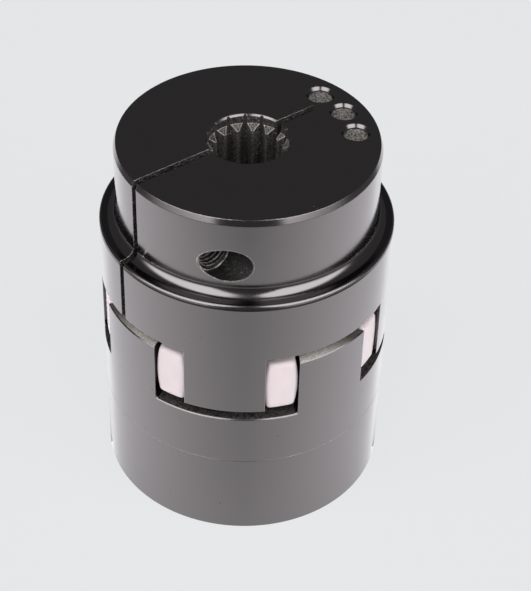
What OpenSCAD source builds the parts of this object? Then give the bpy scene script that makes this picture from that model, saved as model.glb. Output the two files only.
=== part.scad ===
/* [Coupling] */
// Outside diameter of both hubs over the jaws
coupling_d = 105; // [95:1:120]
// Length of a hub, from its end face to the floor between its jaws
hub_l = 56; // [50:1:65]
// Distance between the two jaw floors when the coupling is closed
floor_gap = 28; // [24:0.5:32]
// Free space between a jaw's tip and the floor opposite
tip_gap = 3.5; // [2:0.25:5]
// Turn of the whole coupling about its axis, so that the threaded side of the clamp faces front
assembly_turn = 37.5; // [0:0.5:90]

/* [Jaws] */
// Number of jaws on each hub, half the number of spider legs
jaw_count = 4; // [3:1:5]
// Diameter inside the ring of jaws
jaw_inner_d = 63; // [58:0.5:68]
// Opening for one spider leg, across the jaws at the outside diameter
window_w = 12; // [9:0.5:14]
// Radius of the hollow jaw flanks, seen along the axis
flank_r = 65; // [55:1:100]
// Distance from the axis at which a leg's opening is widest
flank_mid_r = 40; // [36:0.5:44]
// Fillet where a jaw flank meets the floor
root_fillet = 1.2; // [0.4:0.1:2]
// Broken edge round the jaw tips and floors
edge_break = 0.4; // [0.2:0.1:0.8]

/* [Spider] */
// Diameter over the legs
spider_d = 103; // [90:0.5:118]
// Diameter of the eye in the middle
eye_d = 51; // [46:0.5:54]
// Axial height of the ring that joins the legs
web_h = 15; // [10:0.5:18]
// Chamfer round the eye
web_edge = 1; // [0.3:0.1:2]
// Crowning radius of a leg's sides, along the axis
crown_r = 41; // [30:1:80]
// Rounding of a leg's four long corners
leg_round = 1.8; // [0.5:0.1:3]

/* [Clamping hub] */
// Diameter of the boss that carries the clamp
boss_d = 93; // [86:0.5:95]
// Height of the full-diameter flange, from the jaw floor to the shoulder
flange_l = 24.8; // [20:0.2:30]
// Fillet between boss and shoulder
neck_fillet = 3.5; // [2:0.25:4]
// Rounding at the rim of the shoulder
shoulder_edge = 1.1; // [0.5:0.1:1.5]
// Width of the steep chamfer round the boss's end face
boss_edge_w = 0.8; // [0.4:0.1:2]
// Height of the same chamfer
boss_edge_h = 2.1; // [1:0.1:4]
// Width of the clamping slit
slit_w = 2.5; // [1.5:0.1:4]
// Distance of the slit's middle from the axis, so that one wall lies close to the hub's diameter
slit_offset = 1.4; // [0:0.1:2]
// How far the slit runs on past the bore, from the axis
slit_reach = 30.4; // [24:0.2:32]

/* [Spline] */
// Number of spline teeth in the clamping hub's bore
spline_teeth = 15; // [14:1:17]
// Diameter of the pitch circle
spline_d = 26.25; // [25.5:0.25:27]
// Angle of the spline's flanks at the pitch circle
flank_angle = 37.5; // [30:0.5:40]
// Thickness of a tooth at the pitch circle
tooth_w = 2.2; // [1.9:0.1:2.4]
// Diameter inside the tips of the teeth
spline_tip_d = 24.5; // [24:0.1:25]
// Diameter over the roots between the teeth
spline_root_d = 29.5; // [29:0.1:29.5]
// Turn of the first tooth, away from the slit
spline_turn = -2; // [-12:0.5:12]
// Diameter of the relief bore in front of the teeth, which the tooth spaces run out into
relief_d = 28.6; // [28.4:0.1:28.8]
// Depth of the relief bore
relief_l = 3.5; // [2:0.25:6]
// Chamfer round the mouth of the relief bore
mouth_edge = 0.6; // [0.6:0.1:1.5]

/* [Clamp screw] */
// Thread diameter of the clamp screw
clamp_d = 12; // [10:1:12]
// Distance of the screw from the axis
clamp_r = 32.75; // [31:0.25:34]
// Depth of the screw below the boss's end face
clamp_drop = 19; // [17:0.5:20]
// Length of the screw under its head
clamp_l = 25; // [20:1:35]
// Distance of the head's seat from the middle of the hub
seat_y = 9; // [7:0.5:11]
// Diameter of the head
head_d = 18; // [16:0.5:18]
// Height of the head
head_h = 12; // [10:0.5:12]
// Width across the flats of the socket in the head
socket_af = 10; // [6:1:12]
// Depth of the socket
socket_l = 6; // [4:0.5:8]
// Clearance round the head in its counterbore
head_fit = 1; // [0.5:0.1:1.25]
// Clearance round the shank in the half that is pulled
shank_fit = 0.75; // [0.25:0.05:1]
// Diameter of the bore at the mouth of the thread, cut as deep as its grooves
entry_d = 12.8; // [12.5:0.1:14]
// Distance of that bore's bottom from the middle of the hub
entry_y = 25; // [18:0.5:28]
// Chamfer at both ends of the screw
screw_edge = 1; // [0.3:0.1:1.5]

/* [Balancing holes] */
// Number of balancing holes in the boss's end face
balance_count = 3; // [1:1:4]
// Diameter of a balancing hole
balance_d = 8.4; // [6:0.2:9]
// Depth of a balancing hole
balance_l = 1.6; // [1.2:0.1:6]
// Chamfer round a balancing hole
balance_edge = 1; // [0.2:0.1:1.1]
// Distance of the holes from the axis
balance_r = 37.5; // [36:0.5:38]
// Direction of the middle hole, from the line of the slit
balance_turn = -10; // [-20:1:20]
// Angle between two neighbouring holes
balance_pitch = 20; // [18:0.5:25]

/* [Keyed hub] */
// Diameter of the finish bore
bore_d = 42; // [30:1:50]
// Chamfer at both ends of the bore
bore_edge = 1; // [0.5:0.1:2]
// Width of the keyway
key_w = 12; // [8:1:14]
// Depth of the keyway beyond the bore
key_t = 3.3; // [2.8:0.1:3.8]
// Height of the turning mark above the end face
turning_mark_z = 35; // [30:1:40]
// Depth of the turning mark
turning_mark_t = 0.12; // [0.05:0.01:0.2]
// Thread diameter of the set screw
set_d = 8; // [6:1:10]
// Length of the set screw
set_l = 16; // [12:1:20]
// Height of the set screw above the end face
set_z = 20; // [15:1:25]
// Width across the flats of the set screw's socket
set_af = 4; // [3:0.5:5]
// Depth of the set screw's socket
set_socket_l = 5; // [3:0.5:8]

/* [Clearances] */
// Between a leg's crown and the jaw flanks that hold it
leg_fit = 0.1; // [0.05:0.05:0.4]
// Between the spider's ring and the inside of the jaws
web_fit = 0.5; // [0.3:0.1:1]
// Between a screw and the wall of its thread
thread_fit = 0.05; // [0.02:0.01:0.1]
// Between the set screw's tip and the keyway's roof
set_fit = 0.2; // [0:0.1:1]

/* [Hidden] */
$fn = 96;
// Steps along each arc of a turned or crowned profile
arc_steps = 6;
// Steps along the flank of a spline tooth
flank_steps = 4;
// Reach of a cut beyond the face that it opens
over = 1;

outer_r = coupling_d / 2;
jaw_inner_r = jaw_inner_d / 2;
jaw_h = floor_gap - tip_gap;
coupling_l = 2 * hub_l + floor_gap;
upper_floor_z = hub_l + floor_gap;
mid_z = hub_l + floor_gap / 2;
jaw_pitch = 360 / jaw_count;
leg_count = 2 * jaw_count;
leg_pitch = 360 / leg_count;

// Half the width of a leg's opening at its widest, from its width at the rim
window_half = window_w / 2 + flank_r - sqrt(pow(flank_r, 2) - pow(outer_r - flank_mid_r, 2));
// Distance of a hollow flank's centre from the middle of the opening
flank_offset = flank_r - window_half;

leg_h = floor_gap - 2 * tip_gap;
spider_r = spider_d / 2;
eye_r = eye_d / 2;
web_r = jaw_inner_r - web_fit;

boss_r = boss_d / 2;
shoulder_z = upper_floor_z + flange_l;
slit_start_x = outer_r + over;

spline_r = spline_d / 2;
spline_base_r = spline_r * cos(flank_angle);
spline_tip_r = spline_tip_d / 2;
spline_root_r = spline_root_d / 2;
relief_r = relief_d / 2;
relief_z = coupling_l - relief_l;

clamp_z = coupling_l - clamp_drop;
thread_r = clamp_d / 2;
counterbore_r = head_d / 2 + head_fit;
clearance_r = thread_r + shank_fit;

bore_r = bore_d / 2;
keyway_top = bore_r + key_t;
set_r = set_d / 2;
key_turn = jaw_pitch;

// Involute function of an angle in degrees, given in degrees
function involute(a) = tan(a) * 180 / PI - a;

// Half the angle that a tooth of the bore covers at radius r, which grows outwards
function tooth_half(r) =
    tooth_w / spline_d * 180 / PI - involute(flank_angle) + involute(acos(spline_base_r / r));

// Points along an arc, from angle a0 to a1
function arc(cx, cy, r, a0, a1) =
    [for (i = [0 : arc_steps])
        let (a = a0 + (a1 - a0) * i / arc_steps)
        [cx + r * cos(a), cy + r * sin(a)]];

function polar(r, a) = [r * cos(a), r * sin(a)];

// A pie slice of the given angle, its middle on the X axis
module slice(angle, r) {
    far = r / cos(angle / 2);
    polygon([[0, 0], polar(far, -angle / 2), polar(far, angle / 2)]);
}

// The opening for a leg: the lens between two hollow flanks
module window(r) {
    translate([flank_mid_r, 0])
        intersection() {
            translate([0, flank_offset]) circle(r = r);
            translate([0, -flank_offset]) circle(r = r);
        }
}

// One jaw seen along the axis, its middle on the X axis
module jaw_outline() {
    difference() {
        slice(leg_pitch, outer_r + over);
        for (side = [-1, 1])
            rotate(side * leg_pitch / 2) window(flank_r);
    }
}

// The turned ring that the jaws are milled from, standing on z = 0
module jaw_ring() {
    rotate_extrude()
        polygon([
            [jaw_inner_r, -over],
            [outer_r, -over],
            [outer_r, jaw_h - edge_break],
            [outer_r - edge_break, jaw_h],
            [jaw_inner_r + edge_break, jaw_h],
            [jaw_inner_r, jaw_h - edge_break]
        ]);
}

// Fillets at the foot of one jaw's two flanks
module jaw_fillets() {
    corner = flank_r - root_fillet;
    for (side = [-1, 1])
        intersection() {
            rotate(side * leg_pitch / 2)
                translate([flank_mid_r, side * flank_offset])
                    rotate_extrude()
                        polygon(concat(
                            [[flank_r + edge_break, 0], [corner, 0]],
                            arc(corner, root_fillet, root_fillet, -90, 0),
                            [[flank_r + edge_break, root_fillet]]
                        ));
            rotate(side * leg_pitch / 4)
                linear_extrude(root_fillet)
                    slice(leg_pitch / 2, outer_r);
            difference() {
                cylinder(r = outer_r - edge_break, h = root_fillet);
                translate([0, 0, -over]) cylinder(r = jaw_inner_r, h = root_fillet + 2 * over);
            }
        }
}

// All jaws of one hub with their fillets, standing on the floor at z = 0
module jaws() {
    for (i = [0 : jaw_count - 1])
        rotate(i * jaw_pitch) {
            intersection() {
                jaw_ring();
                translate([0, 0, -over])
                    linear_extrude(jaw_h + 2 * over) jaw_outline();
            }
            jaw_fillets();
        }
}

// Broken outer edge of the floors, left out under the jaws
module floor_edge_cut() {
    difference() {
        rotate_extrude()
            polygon([
                [outer_r - edge_break, 0],
                [outer_r + over, -edge_break - over],
                [outer_r + over, 0]
            ]);
        for (i = [0 : jaw_count - 1])
            rotate(i * jaw_pitch)
                translate([0, 0, -edge_break - 2 * over])
                    linear_extrude(edge_break + 3 * over) jaw_outline();
    }
}

// Revolved cutter for a chamfer at the mouth of a bore, the mouth at z = 0 and open upwards
module mouth_cut(r, edge) {
    translate([0, 0, -edge])
        cylinder(r1 = r, r2 = r + edge + over, h = edge + over);
}

// The spline as a cutter: a round core and one space between each pair of teeth
module spline_cut(length) {
    pitch = 360 / spline_teeth;
    tooth_h = spline_root_r - spline_tip_r;
    flank = [for (i = [0 : flank_steps]) spline_tip_r + tooth_h * i / flank_steps];
    cylinder(r = spline_tip_r, h = length);
    for (i = [0 : spline_teeth - 1])
        rotate(spline_turn + (i + 0.5) * pitch)
            linear_extrude(length)
                polygon(concat(
                    [polar(spline_tip_r - over, -pitch / 2 + tooth_half(spline_tip_r))],
                    [for (r = flank) polar(r, -pitch / 2 + tooth_half(r))],
                    [for (i = [flank_steps : -1 : 0])
                        polar(flank[i], pitch / 2 - tooth_half(flank[i]))],
                    [polar(spline_tip_r - over, pitch / 2 - tooth_half(spline_tip_r))]
                ));
}

// Relief bore, the chamfer that points the teeth, and the spline through the hub
module clamping_bore_cut() {
    lead = relief_r - spline_tip_r;
    translate([0, 0, upper_floor_z - over]) spline_cut(hub_l + 2 * over);
    translate([0, 0, relief_z]) cylinder(r = relief_r, h = relief_l + over);
    translate([0, 0, relief_z - lead])
        cylinder(r1 = spline_tip_r, r2 = relief_r, h = lead);
    translate([0, 0, coupling_l]) mouth_cut(relief_r, mouth_edge);
    translate([0, 0, upper_floor_z])
        mirror([0, 0, 1]) mouth_cut(spline_tip_r, spline_root_r - spline_tip_r);
}

// One saw cut from the rim through the bore, ending blind on the far side
module slit_cut() {
    translate([-slit_start_x, slit_offset - slit_w / 2, upper_floor_z - over])
        cube([slit_start_x + slit_reach, slit_w, hub_l + 2 * over]);
}

// Threaded hole at the front, clearance hole and counterbore at the back
module clamp_cut() {
    translate([-clamp_r, 0, clamp_z])
        rotate([90, 0, 0]) {
            cylinder(r = thread_r, h = boss_r);
            translate([0, 0, entry_y]) cylinder(d = entry_d, h = boss_r);
            mirror([0, 0, 1]) {
                cylinder(r = clearance_r, h = boss_r);
                translate([0, 0, seat_y]) cylinder(r = counterbore_r, h = boss_r);
            }
        }
}

// Shallow flat-bottomed holes that balance the clamp
module balance_cut() {
    first = balance_turn - balance_pitch * (balance_count - 1) / 2;
    for (i = [0 : balance_count - 1])
        rotate(first + i * balance_pitch)
            translate([balance_r, 0, coupling_l]) {
                translate([0, 0, -balance_l]) cylinder(d = balance_d, h = balance_l + over);
                mouth_cut(balance_d / 2, balance_edge);
            }
}

// The turned blank of the clamping hub: flange, neck fillet and boss
module clamping_blank() {
    fillet_r = boss_r + neck_fillet;
    fillet_z = shoulder_z + neck_fillet;
    rotate_extrude()
        difference() {
            polygon(concat(
                [[0, upper_floor_z], [outer_r, upper_floor_z]],
                arc(outer_r - shoulder_edge, shoulder_z - shoulder_edge, shoulder_edge, 0, 90),
                [
                    [fillet_r, shoulder_z],
                    [boss_r, fillet_z],
                    [boss_r, coupling_l - boss_edge_h],
                    [boss_r - boss_edge_w, coupling_l],
                    [0, coupling_l]
                ]
            ));
            translate([fillet_r, fillet_z]) circle(r = neck_fillet);
        }
}

module clamping_hub() {
    color("#706c6d")
        rotate(assembly_turn)
            difference() {
                union() {
                    clamping_blank();
                    translate([0, 0, upper_floor_z])
                        mirror([0, 0, 1]) rotate(leg_pitch) jaws();
                }
                translate([0, 0, upper_floor_z])
                    mirror([0, 0, 1]) rotate(leg_pitch) floor_edge_cut();
                clamping_bore_cut();
                slit_cut();
                clamp_cut();
                balance_cut();
            }
}

// The turned blank of the keyed hub, with the fine mark where two cuts of the turning tool meet
module keyed_blank() {
    rotate_extrude()
        polygon([
            [0, 0],
            [outer_r, 0],
            [outer_r, turning_mark_z - turning_mark_t],
            [outer_r - turning_mark_t, turning_mark_z],
            [outer_r, turning_mark_z + turning_mark_t],
            [outer_r, hub_l],
            [0, hub_l]
        ]);
}

module keyed_hub() {
    color("#706c6d")
        rotate(assembly_turn)
            difference() {
                union() {
                    keyed_blank();
                    translate([0, 0, hub_l]) jaws();
                }
                translate([0, 0, hub_l]) floor_edge_cut();
                translate([0, 0, -over]) cylinder(r = bore_r, h = hub_l + 2 * over);
                translate([0, 0, hub_l]) mouth_cut(bore_r, bore_edge);
                mirror([0, 0, 1]) mouth_cut(bore_r, bore_edge);
                rotate(key_turn) {
                    translate([0, -key_w / 2, -over])
                        cube([keyway_top, key_w, hub_l + 2 * over]);
                    translate([bore_r, 0, set_z])
                        rotate([0, 90, 0]) cylinder(r = set_r, h = outer_r);
                }
            }
}

// A disc whose rim is crowned like a barrel, with rounded edges: each side of a leg is part of one
module crowned_disc(r) {
    half = leg_h / 2;
    // Where the crown's arc meets the rounding, from the two circles' centres
    inner = crown_r - leg_round;
    tilt = asin((half - leg_round) / inner);
    crown_c = r - crown_r;
    round_c = crown_c + inner * cos(tilt);
    rotate_extrude()
        polygon(concat(
            [[0, -half]],
            arc(round_c, leg_round - half, leg_round, -90, -tilt),
            arc(crown_c, 0, crown_r, -tilt, tilt),
            arc(round_c, half - leg_round, leg_round, tilt, 90),
            [[0, half]]
        ));
}

// One leg along the X axis, crowned both ways
module spider_leg() {
    intersection() {
        for_both_sides() crowned_disc(flank_r - leg_fit);
        difference() {
            translate([0, 0, -leg_h]) cylinder(r = spider_r, h = 2 * leg_h);
            translate([0, 0, -2 * leg_h]) cylinder(r = (eye_r + web_r) / 2, h = 4 * leg_h);
        }
        translate([0, -leg_h, -leg_h]) cube([spider_r + over, 2 * leg_h, 2 * leg_h]);
    }
}

// The overlap of a shape set on the centres of a window's two flanks
module for_both_sides() {
    intersection() {
        translate([flank_mid_r, flank_offset, 0]) children();
        translate([flank_mid_r, -flank_offset, 0]) children();
    }
}

module spider() {
    color("#e8dbdd")
        rotate(assembly_turn)
            translate([0, 0, mid_z]) {
                rotate_extrude()
                    polygon([
                        [eye_r, -web_h / 2 + web_edge],
                        [eye_r + web_edge, -web_h / 2],
                        [web_r, -web_h / 2],
                        [web_r, web_h / 2],
                        [eye_r + web_edge, web_h / 2],
                        [eye_r, web_h / 2 - web_edge]
                    ]);
                for (i = [0 : leg_count - 1])
                    rotate((i + 0.5) * leg_pitch) spider_leg();
            }
}

// A flat-bottomed socket for a hexagon key, open upwards at z = 0
module socket_cut(af, depth) {
    translate([0, 0, -depth])
        cylinder(r = af / 2 / cos(30), h = depth + over, $fn = 6);
}

module clamp_screw() {
    head_r = head_d / 2;
    shank_r = thread_r - thread_fit;
    color("#2b2b2d")
        rotate(assembly_turn)
            translate([-clamp_r, seat_y, clamp_z])
                rotate([-90, 0, 0])
                    difference() {
                        union() {
                            cylinder(r = head_r, h = head_h - screw_edge);
                            translate([0, 0, head_h - screw_edge])
                                cylinder(r1 = head_r, r2 = head_r - screw_edge, h = screw_edge);
                            translate([0, 0, screw_edge - clamp_l])
                                cylinder(r = shank_r, h = clamp_l);
                            translate([0, 0, -clamp_l])
                                cylinder(r1 = shank_r - screw_edge, r2 = shank_r, h = screw_edge);
                        }
                        translate([0, 0, head_h]) socket_cut(socket_af, socket_l);
                    }
}

module set_screw() {
    color("#2b2b2d")
        rotate(assembly_turn + key_turn)
            translate([keyway_top + set_fit, 0, set_z])
                rotate([0, 90, 0])
                    difference() {
                        cylinder(r = set_r - thread_fit, h = set_l);
                        translate([0, 0, set_l]) socket_cut(set_af, set_socket_l);
                    }
}

keyed_hub();
clamping_hub();
spider();
clamp_screw();
set_screw();
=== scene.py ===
# %% [markdown]
# # A jaw coupling in dark turned steel
#
# Two steel hubs grip a pale pink elastic spider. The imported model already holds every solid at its
# true place and size, so this lesson only dresses it: it loads the frame, sets the camera and a
# light tent, gives the hubs their finish, and adds what is too fine for the solids, such as
# threads and knurls.

# %% Load the fixed frame
from math import asin, cos, pi, radians, sin
import bmesh
import bpy
import numpy as np
from mathutils import Matrix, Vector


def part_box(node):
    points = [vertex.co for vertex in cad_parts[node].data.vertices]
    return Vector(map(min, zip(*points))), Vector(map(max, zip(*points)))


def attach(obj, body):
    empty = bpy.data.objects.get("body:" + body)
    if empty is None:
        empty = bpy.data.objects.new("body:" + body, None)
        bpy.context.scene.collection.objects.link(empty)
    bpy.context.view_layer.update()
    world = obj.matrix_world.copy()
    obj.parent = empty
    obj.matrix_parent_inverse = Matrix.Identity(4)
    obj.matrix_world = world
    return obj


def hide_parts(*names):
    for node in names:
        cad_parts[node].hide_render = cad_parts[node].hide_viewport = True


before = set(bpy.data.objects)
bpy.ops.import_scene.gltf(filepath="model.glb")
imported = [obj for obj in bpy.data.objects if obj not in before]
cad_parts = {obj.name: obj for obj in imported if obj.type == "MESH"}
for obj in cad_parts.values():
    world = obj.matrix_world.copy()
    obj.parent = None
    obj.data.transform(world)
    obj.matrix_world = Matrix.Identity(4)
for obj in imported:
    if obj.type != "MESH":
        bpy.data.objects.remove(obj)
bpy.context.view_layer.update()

MM = 0.001

# %% [markdown]
# ## Sizes that the frame doesn't name
#
# Heights and radii come from the boxes of the nodes wherever a box shows them. What lies inside a
# node, such as the screw's axis, repeats the design's own values in millimetres.

# %% Main sizes, in millimetres
def box_mm(node_name):
    """Lowest and highest corner of a CAD node, in millimetres."""
    low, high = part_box(node_name)
    return np.array(low) / MM, np.array(high) / MM


top_z = box_mm("clamping_hub")[1][2]
outer_r = box_mm("keyed_hub")[1][0]
spider_low, spider_high = box_mm("spider")
spider_r = 51.5  # the ends of the spider's legs
leg_h = spider_high[2] - spider_low[2]
middle_z = (spider_high[2] + spider_low[2]) / 2
turn = radians(37.5)  # the whole coupling is turned by this about its axis
clamp_r = 32.75  # from the coupling's axis to the clamp screw's
clamp_z = top_z - 19.0
print(f"top {top_z:.1f}, outer radius {outer_r:.1f}")
print(f"spider {leg_h:.1f} high round z {middle_z:.1f}")

# %% [markdown]
# ## Camera
#
# The object stands upright and is seen from above and in front. The lens is long, so the sides of
# the hubs hardly draw together. The camera is placed by where it stands, how far it looks down,
# and a slight turn and roll, which is easier to read than a rotation matrix.

# %% Camera
CAMERA_AT = (0.0, -0.4654, 0.4701)
LOOK_DOWN = radians(40.76)
LOOK_RIGHT = radians(0.92)
ROLL = radians(1.72)
LENS, SENSOR = 100.8, 36  # in millimetres

camera_data = bpy.data.cameras.new("camera")
camera_data.sensor_width = SENSOR
camera_data.lens = LENS
camera = bpy.data.objects.new("camera", camera_data)
bpy.context.scene.collection.objects.link(camera)
camera.matrix_world = (
    Matrix.Translation(CAMERA_AT)
    @ Matrix.Rotation(-LOOK_RIGHT, 4, "Z")
    @ Matrix.Rotation(pi / 2 - LOOK_DOWN, 4, "X")
    @ Matrix.Rotation(ROLL, 4, "Z")
)
bpy.context.scene.camera = camera
print("camera", round(camera.location.length, 3), "m from the origin, lens", LENS)

# %% [markdown]
# ## Helpers for colour, nodes and meshes
#
# Colours are read off as sRGB hex values and turned linear in one place. One function adds a
# shader node with its settings and links. One function turns a grid of points into a mesh: row by
# row the points are joined into quads, and a grid can close on itself in either direction.

# %% Colour and node helpers
def linear(hex_colour):
    """sRGB to linear light: below 0.04045 divide by 12.92, above it raise to the power of 2.4."""
    srgb = np.array([int(hex_colour[i:i + 2], 16) / 255 for i in (1, 3, 5)])
    light = np.where(srgb <= 0.04045, srgb / 12.92, ((srgb + 0.055) / 1.055) ** 2.4)
    return (*light.tolist(), 1.0)


def add(tree, kind, sockets=None, out=0, **settings):
    """Adds one shader node and gives back its output, or several for a tuple of names or numbers.

    sockets maps an input's name or number to a value, or to the output that feeds it.
    """
    made = tree.nodes.new("ShaderNode" + kind)
    for name, value in settings.items():
        setattr(made, name, value)
    for socket, value in (sockets or {}).items():
        if isinstance(value, bpy.types.NodeSocket):
            tree.links.new(value, made.inputs[socket])
        else:
            made.inputs[socket].default_value = value
    if isinstance(out, tuple):
        return [made.outputs[one] for one in out]
    return made.outputs[out] if made.outputs else made


def new_material(name):
    """An empty material and its tree."""
    material = bpy.data.materials.new(name)
    material.use_nodes = True
    material.node_tree.nodes.clear()
    return material, material.node_tree


# %% Mesh helpers
WELD_MM = 0.001


def grid_quads(rows, cols, wrap_rows=False, wrap_cols=False, start=0):
    """Quads between neighbouring points of a grid: each joins row i, i+1 and column j, j+1."""
    i = np.arange(rows if wrap_rows else rows - 1)[:, None]
    j = np.arange(cols if wrap_cols else cols - 1)[None, :]
    i, j = np.broadcast_arrays(i, j)
    after_i, after_j = (i + 1) % rows, (j + 1) % cols
    corners = [(i, j), (i, after_j), (after_i, after_j), (after_i, j)]
    quads = np.stack([row * cols + col for row, col in corners], -1)
    return quads.reshape(-1, 4) + start


def mesh_piece(name, points_mm, quads, material, sharp=radians(40)):
    """A mesh at the origin from points in mm: seams and poles welded, faces turned outwards.

    Faces shade smoothly into each other, except over edges that turn by more than the sharp angle.
    """
    mesh = bpy.data.meshes.new(name)
    mesh.from_pydata(points_mm.reshape(-1, 3) * MM, [], quads.tolist())
    form = bmesh.new()
    form.from_mesh(mesh)
    bmesh.ops.remove_doubles(form, verts=form.verts, dist=WELD_MM * MM)
    bmesh.ops.recalc_face_normals(form, faces=form.faces)
    form.to_mesh(mesh)
    form.free()
    mesh.polygons.foreach_set("use_smooth", np.ones(len(mesh.polygons), bool))
    mesh.set_sharp_from_angle(angle=sharp)
    mesh.materials.append(material)
    piece = bpy.data.objects.new(name, mesh)
    bpy.context.scene.collection.objects.link(piece)
    print(f"{name}: {len(mesh.vertices)} points, {len(mesh.polygons)} faces")
    return piece


# %% [markdown]
# ## Floor and light tent
#
# Dark polished steel shows its surroundings and little else, so the light is planned as what the
# metal mirrors. Two soft boxes stand in front, left and right. Between them runs a dark seam that
# is wide at the horizon and narrow above, and it leaves a dark gap in the middle of every bright
# edge. Behind and overhead all is dark, so the end face and the shoulder are black. The upright
# walls mirror a sheet of white paper under the object. A shadow of the object is painted into the
# paper's glow as metal sees it: the paper is darkest in front and brightest beside and behind, so
# the round walls turn from grey in the middle to near white at their edges. In a wedge straight
# behind the object a second painted shadow darkens it again, so that the last line of each wall
# stays soft and doesn't shine. Past the paper's round edge lies a dim table, which draws a dark
# line under each rounded rim.
#
# Matt surfaces can't tell one part of the tent from another, so for them the tent's level comes
# down until a colour renders about as it is written. To the eye the paper is an even glow with a
# faint shadow.

# %% Pale surroundings
PALE = linear("#e8e9eb")
TENT_R, TENT_ROWS, AROUND = 3000.0, 33, 96  # radius in mm, and faces up and round
DARK = 0.115  # light of the tent outside the boxes
LIGHT_ON_MATT = 0.72
GLOW_TO_THE_EYE = 0.9

# Soft boxes, in shares of the tent's radius: the seam's middle, half width at the horizon, how fast
# it closes upwards, least half width and soft edge; the depths between which the front half ends.
SEAM_MIDDLE, SEAM_HALF, SEAM_CLOSES, SEAM_LEAST, SEAM_SOFT = 0.02, 0.43, 0.46, 0.06, 0.1
FRONT_FULL, FRONT_ENDS = -0.25, -0.02
LOW_LIGHT, HIGH_LIGHT, FULL_HEIGHT = 0.85, 3.0, 0.2
BOXES_FOOT = 0.4, 0.7  # on the floor, their light comes in between these radii

# Paper, with its sizes in mm: a, b and p by direction, r0 and q by distance, as in shaded_paper;
# how far behind the object its middle lies, and the radii between which it fades into the table.
PAPER_SHADED, PAPER_OPEN, PAPER_BEND = 1.08, 1.28, 0.7
PAPER_FULL_R, PAPER_FALL = 70.0, -0.18
PAPER_BACK, PAPER_R, PAPER_FADE_R = 120.0, 320.0, 450.0

# Painted shadow behind the object, in the paper's glow: half width h and start y0 in mm, least
# share of light, and slope s.
LEE_HALF_MM, LEE_FROM_MM, LEE_PAINTED_SHADOW, LEE_OPENS = 52.5, -10.0, 0.35, 0.65

# Table: light added beside its dark middle, which ends between these values of |x| / r.
TABLE_LIGHT, TABLE_SEAM, TABLE_OPEN = 0.12, 0.1, 0.35


def soft_boxes(tree, place):
    """Light of the boxes on the tent: (beside the seam) x (front half) x (level by height).

    The seam's half width is the larger of h - c z and its least width. Each share is a soft step:
    of |x - middle| beyond the seam, of y for the front, and of z for the level.
    """
    place = add(tree, "VectorMath", {0: place, "Scale": 1 / (TENT_R * MM)}, operation="SCALE")
    x, y, z = add(tree, "SeparateXYZ", {0: place}, out=(0, 1, 2))
    aside = add(tree, "Math", {0: x, 1: SEAM_MIDDLE}, operation="SUBTRACT")
    aside = add(tree, "Math", {0: aside}, operation="ABSOLUTE")
    seam = add(tree, "Math", {0: z, 1: -SEAM_CLOSES, 2: SEAM_HALF}, operation="MULTIPLY_ADD")
    seam = add(tree, "Math", {0: seam, 1: SEAM_LEAST}, operation="MAXIMUM")
    beyond = add(tree, "Math", {0: aside, 1: seam}, operation="SUBTRACT")
    light = add(tree, "MapRange", {"Value": beyond, "From Max": SEAM_SOFT},
                interpolation_type="SMOOTHSTEP")
    in_front = add(tree, "MapRange", {
        "Value": y, "From Min": FRONT_FULL, "From Max": FRONT_ENDS, "To Min": 1.0, "To Max": 0.0},
        interpolation_type="SMOOTHSTEP")
    level = add(tree, "MapRange", {
        "Value": z, "From Max": FULL_HEIGHT, "To Min": LOW_LIGHT, "To Max": HIGH_LIGHT},
        interpolation_type="SMOOTHSTEP")
    light = add(tree, "Math", {0: light, 1: in_front}, operation="MULTIPLY")
    return add(tree, "Math", {0: light, 1: level}, operation="MULTIPLY")


def kind_of_ray(tree):
    """1 for camera rays and 1 for rays that metal or glass sends on, as two outputs."""
    to_eye, glossy, through = add(
        tree, "LightPath", out=("Is Camera Ray", "Is Glossy Ray", "Is Transmission Ray"))
    return to_eye, add(tree, "Math", {0: glossy, 1: through}, operation="MAXIMUM")


# Painted shadow of the object in the paper's glow that metal sees: least straight in front.
def shaded_paper(tree, y, radius):
    """Light of the paper, least straight in front, where y = -r: (a + b (1 + y/r)^p) (r/r0)^q."""
    back = add(tree, "Math", {0: y, 1: radius}, operation="DIVIDE")
    back = add(tree, "Math", {0: back, 1: 1.0}, operation="ADD")
    back = add(tree, "Math", {0: back, 1: PAPER_BEND}, operation="POWER")
    light = add(tree, "Math", {0: back, 1: PAPER_OPEN, 2: PAPER_SHADED}, operation="MULTIPLY_ADD")
    fall = add(tree, "Math", {0: radius, 1: PAPER_FULL_R * MM}, operation="DIVIDE")
    fall = add(tree, "Math", {0: fall, 1: PAPER_FALL}, operation="POWER")
    return add(tree, "Math", {0: light, 1: fall}, operation="MULTIPLY")


# Painted shadow straight behind the object, in the same glow.
def lee_shade(tree, x, y):
    """Share of the paper's light that the object leaves behind it, least where |x| is under h.

    It is full from the slope (|x| - h) / (y - y0) = s on, and everywhere in front of y0.
    """
    aside = add(tree, "Math", {0: x}, operation="ABSOLUTE")
    aside = add(tree, "Math", {0: aside, 1: LEE_HALF_MM * MM}, operation="SUBTRACT")
    behind = add(tree, "Math", {0: y, 1: LEE_FROM_MM * MM}, operation="SUBTRACT")
    slope = add(tree, "Math", {0: aside, 1: behind}, operation="DIVIDE")
    share = add(tree, "MapRange", {
        "Value": slope, "From Min": 0.0, "From Max": LEE_OPENS, "To Min": LEE_PAINTED_SHADOW, "To Max": 1.0})
    in_front = add(tree, "Math", {0: behind, 1: 0.0}, operation="LESS_THAN")
    return add(tree, "Math", {0: share, 1: in_front}, operation="MAXIMUM")


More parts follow.
